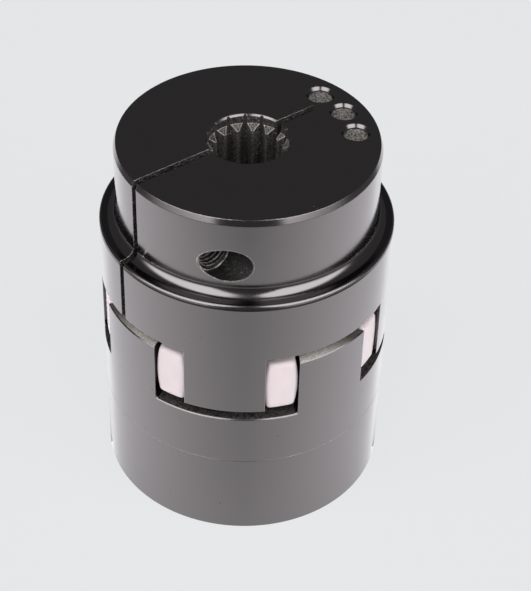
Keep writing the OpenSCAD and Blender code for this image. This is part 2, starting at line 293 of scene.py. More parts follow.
def floor_material():
    """White paper: an even glow to the eye, a shaded sheet to metal, matt white to other light.

    Metal sees near x paper + (1 - near) x table, and far out the soft boxes' foot. near falls from
    1 to 0 with the distance from a point behind the object. The table is lighter beside its middle.
    """
    material, tree = new_material("pale_paper_floor")
    place = add(tree, "TexCoord", out="Object")
    x, y = add(tree, "SeparateXYZ", {0: place}, out=("X", "Y"))
    radius = add(tree, "VectorMath", {0: place}, out="Value", operation="LENGTH")
    from_middle = add(tree, "VectorMath", {0: place, 1: (0, PAPER_BACK * MM, 0)}, out="Value",
                      operation="DISTANCE")
    near = add(tree, "MapRange", {
        "Value": from_middle, "From Min": PAPER_R * MM, "From Max": PAPER_FADE_R * MM,
        "To Min": 1.0, "To Max": 0.0}, interpolation_type="SMOOTHSTEP")
    far = add(tree, "MapRange", {
        "Value": radius, "From Min": BOXES_FOOT[0] * TENT_R * MM,
        "From Max": BOXES_FOOT[1] * TENT_R * MM}, interpolation_type="SMOOTHSTEP")
    aside = add(tree, "Math", {0: x, 1: radius}, operation="DIVIDE")
    aside = add(tree, "Math", {0: aside}, operation="ABSOLUTE")
    table = add(tree, "MapRange", {
        "Value": aside, "From Min": TABLE_SEAM, "From Max": TABLE_OPEN, "To Min": DARK,
        "To Max": DARK + TABLE_LIGHT}, interpolation_type="SMOOTHSTEP")
    # The paper's light with both painted shadows of the object in it.
    mirrored = add(tree, "Math", {0: shaded_paper(tree, y, radius), 1: lee_shade(tree, x, y)},
                   operation="MULTIPLY")
    mirrored = add(tree, "Mix", {"Factor": near, "A": table, "B": mirrored}, data_type="FLOAT")
    foot = soft_boxes(tree, place)
    mirrored = add(tree, "Math", {0: far, 1: foot, 2: mirrored}, operation="MULTIPLY_ADD")
    to_eye, to_metal = kind_of_ray(tree)
    strength = add(tree, "Mix", {"Factor": to_eye, "A": mirrored, "B": 1.0}, data_type="FLOAT")
    share = add(tree, "Math", {0: to_eye, 1: GLOW_TO_THE_EYE, 2: to_metal},
                operation="MULTIPLY_ADD")
    paper = add(tree, "BsdfDiffuse", {"Color": PALE})
    glow = add(tree, "Emission", {"Color": PALE, "Strength": strength})
    surface = add(tree, "MixShader", {0: share, 1: paper, 2: glow})
    add(tree, "OutputMaterial", {"Surface": surface})
    return material


def tent_material():
    """The soft boxes on a dark ground: full strength in mirrors, a plain level on matt surfaces."""
    material, tree = new_material("light_tent")
    place = add(tree, "TexCoord", out="Object")
    bright = add(tree, "Math", {0: soft_boxes(tree, place), 1: DARK}, operation="ADD")
    to_metal = kind_of_ray(tree)[1]
    level = add(tree, "Mix", {"Factor": to_metal, "A": LIGHT_ON_MATT, "B": 1.0}, data_type="FLOAT")
    bright = add(tree, "Math", {0: bright, 1: level}, operation="MULTIPLY")
    add(tree, "OutputMaterial", {"Surface": add(tree, "Emission", {"Strength": bright})})
    return material


# %% Floor, tent and world
FLOOR_Z = -0.05
FLOOR_RINGS = 0.0, 200.0, 600.0, 1500.0, TENT_R
TENT_FOOT = radians(-2)


def floor():
    """A disc just under the object: rings of growing radius round the origin."""
    radius = np.array(FLOOR_RINGS)[:, None]
    angle = np.linspace(0, 2 * pi, AROUND, endpoint=False)[None, :]
    x, y = radius * np.cos(angle), radius * np.sin(angle)
    points = np.stack(np.broadcast_arrays(x, y, FLOOR_Z), -1)
    quads = grid_quads(len(FLOOR_RINGS), AROUND, wrap_cols=True)
    return mesh_piece("floor", points, quads, floor_material())


def tent():
    """Half a ball, by elevation e and azimuth a: R cos e cos a, R cos e sin a and R sin e."""
    elevation = np.linspace(TENT_FOOT, pi / 2, TENT_ROWS)[:, None]
    azimuth = np.linspace(0, 2 * pi, AROUND, endpoint=False)[None, :]
    x, y = np.cos(elevation) * np.cos(azimuth), np.cos(elevation) * np.sin(azimuth)
    points = TENT_R * np.stack(np.broadcast_arrays(x, y, np.sin(elevation)), -1)
    quads = grid_quads(TENT_ROWS, AROUND, wrap_cols=True)
    return mesh_piece("light_tent", points, quads, tent_material())


floor_piece = floor()
tent_piece = tent()
tent_piece.visible_camera = False

world = bpy.data.worlds.new("pale_room")
bpy.context.scene.world = world
world.use_nodes = True
world.node_tree.nodes.clear()
to_eye, to_metal = kind_of_ray(world.node_tree)
seen = add(world.node_tree, "Math", {0: to_eye, 1: to_metal}, operation="ADD")
pale_sky = add(world.node_tree, "Background", {"Color": PALE, "Strength": seen})
add(world.node_tree, "OutputWorld", {"Surface": pale_sky})
bpy.context.scene.view_settings.view_transform = "Standard"
print("floor, tent and world are in place")

# %% [markdown]
# ## Dark turned steel
#
# The hubs are carbon steel, turned on a lathe, finely polished and then blackened and oiled. The
# eye sees a dark mirror: pale where it faces the floor, black where it faces the dark strip, and
# near white where it is seen at a grazing angle. Metallic 1 with a dark base gives all three. The
# turning leaves marks that run round the axis, so the pattern is one noise that reads the height
# on walls and the radius on flat faces. Real feed marks are 0.1 mm apart, too fine for this view,
# so they are drawn at 0.6 mm.
#
# Where no lathe tool came, the steel is raw: the broached bore is streaked along its teeth, the
# slit is sawn, the balancing holes have a drilled floor, the clamp's hole is rough, and the tips
# and roots of the jaws are milled. There the scale scatters light instead of mirroring it, so
# these places turn from metal to a matt speckle. Each has a level of its own, and many of these
# levels are painted light and shade. Painted shade keeps the entry of the clamp's hole near black
# and darkens the walls of the balancing holes, the roots of the thread, the bore's relief and tooth
# spaces, and the roots of the jaws. Painted light makes pale the crests of the thread, the floor
# where the thread starts, the burred edges of the teeth and the tips of the jaws, those most on one
# side. The flat shoulder's colour is darkened by painted shade as well. The speckle's real grain is
# finer than 0.2 mm and is drawn at 0.6 mm, as coarse as it has to be to show. The rim under the
# shoulder leans back a little over its last millimetre.

# %% Steel of the hubs
HUB_GREY = linear("#777374")  # blackened and oiled steel, seen straight on
EDGE_TINT = linear("#e1e1e2")  # the same steel at a grazing angle, nearly white
BARE_STEEL = linear("#b9b5b2")  # bright steel where an edge is worn
RAW_DARK, RAW_LIGHT = linear("#2d2a28"), linear("#aca7a2")  # hollows and crests of raw steel
NOISE_BAND = 0.3, 0.7  # noise hardly leaves these values

FEED_MM, FEED_BUMP, FEED_DEEP_MM = 0.6, 0.12, 0.02  # feed marks
FILM_MM, FILM_ROUGH = 18.0, (0.13, 0.2)  # film of oil
EDGE_BREAK_MM, EDGE_LIKENESS = 0.35, (0.98, 0.8)  # radius, and cosines between which wear grows
NICK_MM, NICK_BAND, NICK_LEAST = 1.1, (0.45, 0.7), 0.3  # uneven wear along the edges

# Raw steel: grain, the noise values between dark and light, how matt it is, and its long streaks.
RAW_GRAIN_MM, GRAIN_BAND, RAW_ROUGH, RAW_METALLIC = 0.6, (0.37, 0.65), 0.6, 0.15
DRAWN_OUT, SPECKLE_SHARE = (1.0, 1.0, 0.06), 0.7

# Pits all over, and chips that glint in the bore and the slit; in the clamp's hole painted shade
# makes them weaker. The real ones are about 0.1 mm across. These are drawn as large as they have
# to be to show.
PIT_SPACING_MM, PIT_R_MM, PIT_LEVEL = 6.0, 0.35, 0.4
CHIP_SPACING_MM, CHIP_R_MM, CHIP_LEVEL, ENTRY_CHIP_IN_PAINTED_SHADE = 1.0, 0.4, 1.0, 0.25

# %% Where the raw places are, in millimetres, and how light each is
UPRIGHT, FACES_UP, AT_PLANE_MM = 0.5, 0.9, 0.05  # bounds for the normal's z and for a height

# Painted shade: the bore is darker in its relief and in its tooth spaces than on the teeth.
BORE_R, BORE_LOW, RELIEF_FROM, RELIEF_R, BORE_LEVEL_AND_PAINTED_SHADE = 14.95, 83.0, 13.5, 14.2, (0.38, 0.2)

# The lead-in faces of the teeth: their normal's z and how far it strays, the height that they lie
# under, and the radius of their burred edges and the painted highlight on those edges.
LEAD_IN_SLOPE, LEAD_IN_BELOW, LEAD_IN_LEVEL = (0.7, 0.19), top_z - 1.5, 0.45
LEAD_IN_EDGE_MM, LEAD_IN_PAINTED_HIGHLIGHT = 0.75, 3.0

# The slit: its middle plane, half its width, and the x at which it ends past the bore.
SLIT_MIDDLE, SLIT_REACH, SLIT_END, SLIT_LEVEL = 1.4, 1.3, 30.45, 0.2

# The clamp's hole: its smooth entry, kept near black by painted shade; the thread, whose crests
# get a painted highlight and whose roots painted shade; the floor between the two, pale with
# painted light; and the bright ring at its mouth as a radius past the entry's and half a width.
ENTRY_R, ENTRY_Y, ENTRY_WALL, ENTRY_PAINTED_SHADE = 6.4, 25.0, 0.15, 0.05
THREAD_R, CREST_R, THREAD_PAINTED_SHADE_AND_LIGHT = 5.35, 5.12, (0.05, 2.2)
THREAD_FLOOR_HALF, THREAD_FLOOR_REACH, THREAD_FLOOR_PAINTED_LIGHT = 0.25, 0.1, 2.0
MOUTH_RING, MOUTH_WORN = (0.2, 0.25), 0.7

# The balancing holes lie in a ring of the end face: the ring's middle and half its width.
DRILLED_Z, HOLES_R, HOLES_REACH = top_z - 1.6, 31.0, 12.0
# The drilled floor's level, the walls' level, near black with painted shade, and the walls' edge
# radius as a share.
DRILLED_LEVEL, DRILLED_WALL_PAINTED_SHADE, DRILLED_EDGE = 0.95, 0.06, 0.25

# The jaws' tips are pale with painted light, most towards one side of the coupling, and their
# roots dark with painted shade. TIP_EVEN evens out the tips' grain.
JAW_TIP_Z, JAW_TIP_PAINTED_LIGHT, TIP_EVEN = box_mm("keyed_hub")[1][2], (0.5, 2.4), 0.6
PAINTED_LIGHT_SIDE, PAINTED_LIGHT_BAND = (-0.707, -0.707, 0.0), (0.58, 0.76)
JAW_ROOT_Z, JAW_ROOT_PAINTED_SHADE = 56.0, 0.22

# Painted shade darkens the flat shoulder's colour. The rim under it leans back between two
# heights, by this much.
SHOULDER_Z, SHOULDER_PAINTED_SHADE = 108.8, 0.45
LEAN_MM, LEAN_DEEP_MM = (106.75, 107.85), 0.33


def hub_frame(tree):
    """Place in millimetres and true normal in the hub's own frame, where the slit runs along -X."""
    place = add(tree, "TexCoord", out="Object")
    place = add(tree, "VectorMath", {0: place, "Scale": 1 / MM}, operation="SCALE")
    normal = add(tree, "NewGeometry", out="Normal")
    return [
        add(tree, "VectorRotate", {"Vector": vector, "Angle": -turn}, rotation_type="Z_AXIS")
        for vector in (place, normal)]


def all_of(tree, *marks):
    """1 where every mark is 1, each a value from 0 to 1: the marks multiplied."""
    result = marks[0]
    for mark in marks[1:]:
        result = add(tree, "Math", {0: result, 1: mark}, operation="MULTIPLY")
    return result


def spots(tree, place, spacing, largest):
    """Small round spots: 1 where the nearest scattered point is within its own random radius."""
    distance, chance = add(tree, "TexVoronoi", {"Vector": place, "Scale": 1 / spacing}, out=(0, 1))
    size = add(tree, "Math", {0: chance, 1: largest / spacing}, operation="MULTIPLY")
    return add(tree, "Math", {0: distance, 1: size}, operation="LESS_THAN")


def raw_places(tree, place, normal):
    """Places that no lathe tool touched: pairs of a mark and its level, then the marks used again.

    Each mark compares a distance with a size: from the coupling's axis, from the slit's middle
    plane or from the clamp screw's axis, or else the height with that of a milled or drilled face.
    """
    x, y, z = add(tree, "SeparateXYZ", {0: place}, out=(0, 1, 2))
    up = add(tree, "SeparateXYZ", {0: normal}, out=2)
    upright = add(tree, "Math", {0: up, 1: 0.0, 2: UPRIGHT}, operation="COMPARE")
    faces_up = add(tree, "Math", {0: up, 1: FACES_UP}, operation="GREATER_THAN")
    in_hub = add(tree, "Math", {0: z, 1: BORE_LOW}, operation="GREATER_THAN")

    flat_place = add(tree, "CombineXYZ", {"X": x, "Y": y})
    from_axis = add(tree, "VectorMath", {0: flat_place}, out="Value", operation="LENGTH")
    inside = add(tree, "Math", {0: from_axis, 1: BORE_R}, operation="LESS_THAN")
    bore = all_of(tree, inside, upright, in_hub)
    bore_level_and_painted_shade = add(tree, "MapRange", {
        "Value": from_axis, "From Min": RELIEF_FROM, "From Max": RELIEF_R, "To Min": BORE_LEVEL_AND_PAINTED_SHADE[0],
        "To Max": BORE_LEVEL_AND_PAINTED_SHADE[1]})
    slanted = add(tree, "Math", {0: up, 1: LEAD_IN_SLOPE[0], 2: LEAD_IN_SLOPE[1]},
                  operation="COMPARE")
    under_mouth = add(tree, "Math", {0: z, 1: LEAD_IN_BELOW}, operation="LESS_THAN")
    lead_in = all_of(tree, inside, slanted, in_hub, under_mouth)

    slit = add(tree, "Math", {0: y, 1: SLIT_MIDDLE, 2: SLIT_REACH}, operation="COMPARE")
    short = add(tree, "Math", {0: x, 1: SLIT_END}, operation="LESS_THAN")
    slit = all_of(tree, slit, short, in_hub)

    across = add(tree, "CombineXYZ", {"X": x, "Z": z})
    from_screw = add(tree, "VectorMath", {0: across, 1: (-clamp_r, 0, clamp_z)}, out="Value",
                     operation="DISTANCE")
    entry = add(tree, "Math", {0: from_screw, 1: ENTRY_R, 2: ENTRY_WALL}, operation="COMPARE")
    thread = add(tree, "Math", {0: from_screw, 1: ENTRY_R - ENTRY_WALL}, operation="LESS_THAN")
    thread_painted_shade_and_light = add(tree, "MapRange", {
        "Value": from_screw, "From Min": THREAD_R, "From Max": CREST_R, "To Min": THREAD_PAINTED_SHADE_AND_LIGHT[0],
        "To Max": THREAD_PAINTED_SHADE_AND_LIGHT[1]})
    thread_floor = add(
        tree, "Math", {0: from_screw, 1: ENTRY_R - THREAD_FLOOR_HALF, 2: THREAD_FLOOR_HALF},
        operation="COMPARE")
    at_floor = add(tree, "Math", {0: y, 1: -ENTRY_Y, 2: THREAD_FLOOR_REACH}, operation="COMPARE")
    thread_floor = all_of(tree, thread_floor, at_floor)

    drilled = add(tree, "Math", {0: z, 1: DRILLED_Z, 2: AT_PLANE_MM}, operation="COMPARE")
    drilled = all_of(tree, drilled, faces_up)
    among_holes = add(tree, "Math", {0: from_axis, 1: HOLES_R, 2: HOLES_REACH}, operation="COMPARE")
    above_floor = add(tree, "Math", {0: z, 1: DRILLED_Z}, operation="GREATER_THAN")
    drilled_wall = all_of(tree, upright, among_holes, above_floor)

    tip = add(tree, "Math", {0: z, 1: JAW_TIP_Z, 2: AT_PLANE_MM}, operation="COMPARE")
    tip = all_of(tree, tip, faces_up)
    # Painted light on the tips, brightest towards one side of the coupling.
    painted_light_side = add(tree, "VectorMath", {0: flat_place, 1: PAINTED_LIGHT_SIDE}, out="Value",
                    operation="DOT_PRODUCT")
    painted_light_side = add(tree, "Math", {0: painted_light_side, 1: from_axis}, operation="DIVIDE")
    tip_painted_light = add(tree, "MapRange", {
        "Value": painted_light_side, "From Min": PAINTED_LIGHT_BAND[0], "From Max": PAINTED_LIGHT_BAND[1],
        "To Min": JAW_TIP_PAINTED_LIGHT[0], "To Max": JAW_TIP_PAINTED_LIGHT[1]})
    root = add(tree, "Math", {0: z, 1: JAW_ROOT_Z, 2: AT_PLANE_MM}, operation="COMPARE")
    root = all_of(tree, root, faces_up)

    pit = spots(tree, place, PIT_SPACING_MM, PIT_R_MM)
    spot = spots(tree, place, CHIP_SPACING_MM, CHIP_R_MM)
    broached_or_sawn = add(tree, "Math", {0: bore, 1: slit}, operation="MAXIMUM")
    chip = all_of(tree, spot, broached_or_sawn)
    entry_chip = all_of(tree, spot, entry)
    # Painted light raises the levels on the thread's crests and floor and on the jaws' tips; painted
    # shade lowers them in the entry and its chips, the thread's roots, the holes' walls, the bore's
    # relief and tooth spaces, and the jaws' roots.
    marks = (
        (bore, bore_level_and_painted_shade), (lead_in, LEAD_IN_LEVEL), (slit, SLIT_LEVEL), (entry, ENTRY_PAINTED_SHADE),
        (thread, thread_painted_shade_and_light), (thread_floor, THREAD_FLOOR_PAINTED_LIGHT), (drilled, DRILLED_LEVEL),
        (drilled_wall, DRILLED_WALL_PAINTED_SHADE), (tip, tip_painted_light), (root, JAW_ROOT_PAINTED_SHADE),
        (pit, PIT_LEVEL), (chip, CHIP_LEVEL), (entry_chip, ENTRY_CHIP_IN_PAINTED_SHADE))
    return marks, bore, lead_in, drilled_wall, tip, from_screw


def feed_marks(tree, place, normal):
    """Noise along the turning tool's way: height on walls, distance from the axis on flat faces."""
    x, y, z = add(tree, "SeparateXYZ", {0: place}, out=(0, 1, 2))
    flat_place = add(tree, "CombineXYZ", {"X": x, "Y": y})
    radius = add(tree, "VectorMath", {0: flat_place}, out="Value", operation="LENGTH")
    up = add(tree, "SeparateXYZ", {0: normal}, out=2)
    up = add(tree, "Math", {0: up}, operation="ABSOLUTE")
    is_flat = add(tree, "Math", {0: up, 1: FACES_UP}, operation="GREATER_THAN")
    way = add(tree, "Mix", {"Factor": is_flat, "A": z, "B": radius}, data_type="FLOAT")
    return add(tree, "TexNoise", {"W": way, "Scale": 1 / FEED_MM, "Detail": 2.0},
               noise_dimensions="1D")


def raw_grain(tree, place, bore, least):
    """Speckle of raw steel from 0 to 1, not below a least share, with long streaks in the bore."""
    speckle = add(tree, "TexNoise", {"Vector": place, "Scale": 1 / RAW_GRAIN_MM, "Detail": 2.0})
    drawn_out = add(tree, "VectorMath", {0: place, 1: DRAWN_OUT}, operation="MULTIPLY")
    streak = add(tree, "TexNoise", {
        "Vector": drawn_out, "Scale": 1 / (2 * RAW_GRAIN_MM), "Detail": 2.0})
    streak = add(tree, "Mix", {"Factor": SPECKLE_SHARE, "A": streak, "B": speckle},
                 data_type="FLOAT")
    grain = add(tree, "Mix", {"Factor": bore, "A": speckle, "B": streak}, data_type="FLOAT")
    grain = add(tree, "MapRange", {
        "Value": grain, "From Min": GRAIN_BAND[0], "From Max": GRAIN_BAND[1]})
    return add(tree, "Math", {0: grain, 1: least}, operation="MAXIMUM")


def hub_steel():
    """Dark turned steel with broken edges, faint feed marks, a film of oil, and raw cut places.

    edge is how far the rounded normal leaves the face's own. Worn edges turn bright, and raw places
    keep a polished edge, except the lead-in faces of the teeth, whose burred edges get a painted
    highlight.
    """
    material, tree = new_material("blackened_turned_steel")
    place, true_normal = hub_frame(tree)
    marks, bore, lead_in, drilled_wall, tip, from_screw = raw_places(tree, place, true_normal)

    z = add(tree, "SeparateXYZ", {0: place}, out=2)
    radius = add(tree, "MapRange", {
        "Value": drilled_wall, "To Min": EDGE_BREAK_MM * MM,
        "To Max": DRILLED_EDGE * EDGE_BREAK_MM * MM})
    radius = add(tree, "Mix", {
        "Factor": lead_in, "A": radius, "B": LEAD_IN_EDGE_MM * MM}, data_type="FLOAT")
    rounded = add(tree, "Bevel", {"Radius": radius}, samples=4)
    flat_normal = add(tree, "NewGeometry", out="Normal")
    likeness = add(tree, "VectorMath", {0: rounded, 1: flat_normal}, out="Value",
                   operation="DOT_PRODUCT")
    edge = add(tree, "MapRange", {
        "Value": likeness, "From Min": EDGE_LIKENESS[0], "From Max": EDGE_LIKENESS[1]})
    nick = add(tree, "TexNoise", {"Vector": place, "Scale": 1 / NICK_MM, "Detail": 2.0})
    nick = add(tree, "MapRange", {
        "Value": nick, "From Min": NICK_BAND[0], "From Max": NICK_BAND[1], "To Min": NICK_LEAST})
    mouth = add(tree, "Math", {0: from_screw, 1: ENTRY_R + MOUTH_RING[0], 2: MOUTH_RING[1]},
                operation="COMPARE")
    mouth = add(tree, "Math", {0: mouth, 1: MOUTH_WORN}, operation="MULTIPLY")
    worn = add(tree, "Math", {0: edge, 1: mouth}, operation="MAXIMUM")
    worn = add(tree, "Math", {0: worn, 1: nick}, operation="MULTIPLY")
    turned_colour = add(tree, "Mix", {
        "Factor": worn, "A": HUB_GREY, "B": BARE_STEEL}, out="Result", data_type="RGBA")
    # Painted shade: the flat shoulder's colour is darkened.
    shoulder = add(tree, "Math", {0: z, 1: SHOULDER_Z, 2: AT_PLANE_MM}, operation="COMPARE")
    shade = add(tree, "MapRange", {"Value": shoulder, "To Min": 1.0, "To Max": SHOULDER_PAINTED_SHADE})
    turned_colour = add(tree, "VectorMath", {0: turned_colour, "Scale": shade}, operation="SCALE")

    level = 0.0
    for mark, its_level in marks:
        mark = add(tree, "Math", {0: mark, 1: its_level}, operation="MULTIPLY")
        level = add(tree, "Math", {0: mark, 1: level}, operation="MAXIMUM")
    # Painted highlight on the burred edges of the lead-in faces: a higher level and the lightest
    # grain.
    glint = all_of(tree, lead_in, edge)
    level = add(tree, "Math", {0: glint, 1: LEAD_IN_PAINTED_HIGHLIGHT, 2: level}, operation="MULTIPLY_ADD")
    raw = add(tree, "Math", {0: level, 1: 0.0}, operation="GREATER_THAN")
    polished_edge = add(tree, "Math", {0: glint, 1: edge}, operation="SUBTRACT")
    polished_edge = add(tree, "Math", {0: polished_edge, 1: 1.0}, operation="ADD")
    raw = all_of(tree, raw, polished_edge)
    least = add(tree, "Math", {0: tip, 1: TIP_EVEN, 2: glint}, operation="MULTIPLY_ADD")
    grain = raw_grain(tree, place, bore, least)
    raw_colour = add(tree, "Mix", {
        "Factor": grain, "A": RAW_DARK, "B": RAW_LIGHT}, out="Result", data_type="RGBA")
    raw_colour = add(tree, "VectorMath", {0: raw_colour, "Scale": level}, operation="SCALE")
    colour = add(tree, "Mix", {
        "Factor": raw, "A": turned_colour, "B": raw_colour}, out="Result", data_type="RGBA")

    film = add(tree, "TexNoise", {"Vector": place, "Scale": 1 / FILM_MM, "Detail": 3.0})
    film = add(tree, "MapRange", {
        "Value": film, "From Min": NOISE_BAND[0], "From Max": NOISE_BAND[1],
        "To Min": FILM_ROUGH[0], "To Max": FILM_ROUGH[1]})
    rough = add(tree, "Mix", {"Factor": raw, "A": film, "B": RAW_ROUGH}, data_type="FLOAT")
    metallic = add(tree, "MapRange", {"Value": raw, "To Min": 1.0, "To Max": RAW_METALLIC})
    lean = add(tree, "MapRange", {
        "Value": z, "From Min": LEAN_MM[0], "From Max": LEAN_MM[1], "To Min": 0.0,
        "To Max": -LEAN_DEEP_MM})
    leaning = add(tree, "Bump", {
        "Strength": 1.0, "Distance": MM, "Height": lean, "Normal": rounded})
    bump = add(tree, "Bump", {
        "Strength": FEED_BUMP, "Distance": FEED_DEEP_MM * MM,
        "Height": feed_marks(tree, place, true_normal), "Normal": leaning})
    steel = add(tree, "BsdfPrincipled", {
        "Base Color": colour, "Metallic": metallic, "Roughness": rough, "Normal": bump,
        "Specular Tint": EDGE_TINT})
    add(tree, "OutputMaterial", {"Surface": steel})
    return material


blackened_steel = hub_steel()
for name in ("keyed_hub", "clamping_hub"):
    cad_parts[name].data.materials[0] = blackened_steel
print("hubs are finished in", blackened_steel.name)

# %% [markdown]
# ## Steel of the screws
#
# Both screws are alloy steel, black oxidised: darker and duller than the hubs, with a little oil
# in the threads.

# %% Black oxide
SCREW_BLACK = linear("#4a494b")

# The real mottle is about 0.1 mm wide, and is drawn at 0.9 mm so that it shows.
MOTTLE_MM, MOTTLE_ROUGH, MOTTLE_BUMP, MOTTLE_DEEP_MM = 0.9, (0.25, 0.45), 0.15, 0.02


def screw_steel():
    """Black oxide on rolled and forged steel: dark metal with a soft mottled gloss."""
    material, tree = new_material("black_oxide_screw_steel")
    place = add(tree, "TexCoord", out="Object")
    mottle = add(tree, "TexNoise", {
        "Vector": place, "Scale": 1 / (MOTTLE_MM * MM), "Detail": 4.0})
    rough = add(tree, "MapRange", {
        "Value": mottle, "From Min": NOISE_BAND[0], "From Max": NOISE_BAND[1],
        "To Min": MOTTLE_ROUGH[0], "To Max": MOTTLE_ROUGH[1]})
    bump = add(tree, "Bump", {
        "Strength": MOTTLE_BUMP, "Distance": MOTTLE_DEEP_MM * MM, "Height": mottle})
    steel = add(tree, "BsdfPrincipled", {
        "Base Color": SCREW_BLACK, "Metallic": 1.0, "Roughness": rough, "Normal": bump})
    add(tree, "OutputMaterial", {"Surface": steel})
    return material


oxide_steel = screw_steel()
for name in ("clamp_screw", "set_screw"):
    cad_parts[name].data.materials[0] = oxide_steel

# %% [markdown]
# ## The spider
#
# The spider is cast polyurethane, pale pink and slightly see-through at its edges. Each leg is
# crowned like a barrel, so that it rolls in the hollow jaw flanks. The solids have the right form,
# but their edges are chamfers of a few steps. Here the leg is one smooth surface: rays from a
# point inside the leg run out to the nearer of flank and rim, and a soft minimum of the two rounds
# the corner between them.

# %% Polyurethane
PINK_DEEP, PINK_PALE, CLOUD_MM = linear("#e3d4d7"), linear("#eee2e4"), 6.0
SATIN, CAST_IOR = 0.45, 1.5  # roughness and IOR
UNDER_SKIN, UNDER_SKIN_RGB, UNDER_SKIN_MM = 0.25, (1.0, 0.6, 0.6), 1.5  # share, tint and reach


def polyurethane():
    """Cast polyurethane: satin, faintly cloudy, with a little light passing under the skin."""
    material, tree = new_material("cast_polyurethane")
    place = add(tree, "TexCoord", out="Object")
    cloud = add(tree, "TexNoise", {"Vector": place, "Scale": 1 / (CLOUD_MM * MM), "Detail": 3.0})
    colour = add(tree, "Mix", {
        "Factor": cloud, "A": PINK_DEEP, "B": PINK_PALE}, out="Result", data_type="RGBA")
    body = add(tree, "BsdfPrincipled", {
        "Base Color": colour, "Roughness": SATIN, "IOR": CAST_IOR, "Subsurface Weight": UNDER_SKIN,
        "Subsurface Radius": UNDER_SKIN_RGB, "Subsurface Scale": UNDER_SKIN_MM * MM})
    add(tree, "OutputMaterial", {"Surface": body})
    return material


pink_polyurethane = polyurethane()
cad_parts["spider"].data.materials[0] = pink_polyurethane

# %% Spider: legs by rays, ring by a lathe
LEG_COUNT = 8
FLANK_R, FLANK_MID_R, FLANK_OFFSET = 64.9, 40.0, 57.787  # a flank's radius, its centre's x and y
CROWN_R, LEG_ROUND = 41.0, 1.8  # radii of the crown and of its edge
RING_IN, RING_OUT, RING_H = 25.5, 31.0, 15.0
LEG_START = (RING_IN + RING_OUT) / 2
RAY_FROM, RAYS, MISSED = 41.0, 144, 1e3  # x of the rays' start, their number, length of a miss
SOFTNESS = 16  # p of the soft minimum
END_RINGS = 0.0, 0.35, 0.7  # shares of the outline on the leg's flat ends
EDGE_ROWS, CROWN_ROWS = 9, 15
RING_POINTS, RING_AROUND, RING_POWER = 48, 192, 9


def leg_rows():
    """Heights of a leg's outlines, and how far its flanks and ends lie inside their widest place.

    On the crown the inset is R (1 - cos a) at the height R sin a. On the rounded edge both follow
    a quarter circle that touches the crown's arc at the angle called tilt.
    """
    half = leg_h / 2
    inner = CROWN_R - LEG_ROUND
    tilt = asin((half - LEG_ROUND) / inner)
    edge = np.linspace(pi / 2, tilt, EDGE_ROWS)
    crown = np.linspace(tilt, -tilt, CROWN_ROWS)[1:-1]
    edge_z = half - LEG_ROUND + LEG_ROUND * np.sin(edge)
    edge_in = CROWN_R - inner * cos(tilt) - LEG_ROUND * np.cos(edge)
    z = np.concatenate([edge_z, CROWN_R * np.sin(crown), -edge_z[::-1]])
    flank_in = np.concatenate([edge_in, CROWN_R * (1 - np.cos(crown)), edge_in[::-1]])
    past = np.clip(np.abs(z) - (half - LEG_ROUND), 0, LEG_ROUND)
    end_in = LEG_ROUND - np.sqrt(LEG_ROUND**2 - past**2)
    return z, flank_in, end_in


def ray_reach(ux, uy, centre_x, centre_y, radius, outside=False):
    """Length of a ray from P = (RAY_FROM, 0) along u to the circle round C with radius R.

    It is -b + sqrt(b^2 + R^2 - c^2), where b = u.(P - C) and c = |P - C|. From outside the circle
    the first hit has a minus before the root, and a ray that misses gets a large length.
    """
    px, py = RAY_FROM - centre_x, -centre_y
    b = ux * px + uy * py
    inside_root = b**2 + radius**2 - px**2 - py**2
    root = np.sqrt(np.maximum(inside_root, 0))
    if not outside:
        return -b + root
    return np.where((inside_root > 0) & (b < 0), -b - root, MISSED)


def spider_leg():
    """Points of one leg along +X: every ray ends at the soft minimum of its four lengths.

    Soft minimum: (d1^-p + d2^-p + ...)^(-1/p). Both ends close on a point in shrinking rings.
    """
    z, flank_in, end_in = (row[:, None] for row in leg_rows())
    angle = np.linspace(0, 2 * pi, RAYS, endpoint=False)[None, :]
    ux, uy = np.cos(angle), np.sin(angle)
    reach = [
        ray_reach(ux, uy, FLANK_MID_R, FLANK_OFFSET, FLANK_R - flank_in),
        ray_reach(ux, uy, FLANK_MID_R, -FLANK_OFFSET, FLANK_R - flank_in),
        ray_reach(ux, uy, 0, 0, spider_r - end_in),
        ray_reach(ux, uy, 0, 0, LEG_START + end_in, outside=True),
    ]
    reach = sum(d**-SOFTNESS for d in reach) ** (-1 / SOFTNESS)
    shrink = np.array(END_RINGS)[:, None]
    reach = np.concatenate([shrink * reach[:1], reach, shrink[::-1] * reach[-1:]])
    z = np.concatenate([z[[0, 0, 0]], z, z[[-1, -1, -1]]])
    return np.stack(np.broadcast_arrays(RAY_FROM + reach * ux, reach * uy, middle_z + z), -1)


def spider_ring():
    """The ring that joins the legs: a squarish oval |x/a|^n + |z/b|^n = 1 turned round the axis."""
    t = np.linspace(0, 2 * pi, RING_POINTS, endpoint=False)[:, None]
    around = np.linspace(0, 2 * pi, RING_AROUND, endpoint=False)[None, :]
    x_share, z_share = (
        np.sign(wave) * np.abs(wave) ** (2 / RING_POWER) for wave in (np.cos(t), np.sin(t)))
    radius = LEG_START + (RING_OUT - RING_IN) / 2 * x_share
    z = middle_z + RING_H / 2 * z_share
    return np.stack(np.broadcast_arrays(radius * np.cos(around), radius * np.sin(around), z), -1)


def turned(points, angle):
    """Points turned about the axis by an angle: x cos a - y sin a, x sin a + y cos a."""
    x, y, z = np.moveaxis(points, -1, 0)
    return np.stack([x * cos(angle) - y * sin(angle), x * sin(angle) + y * cos(angle), z], -1)


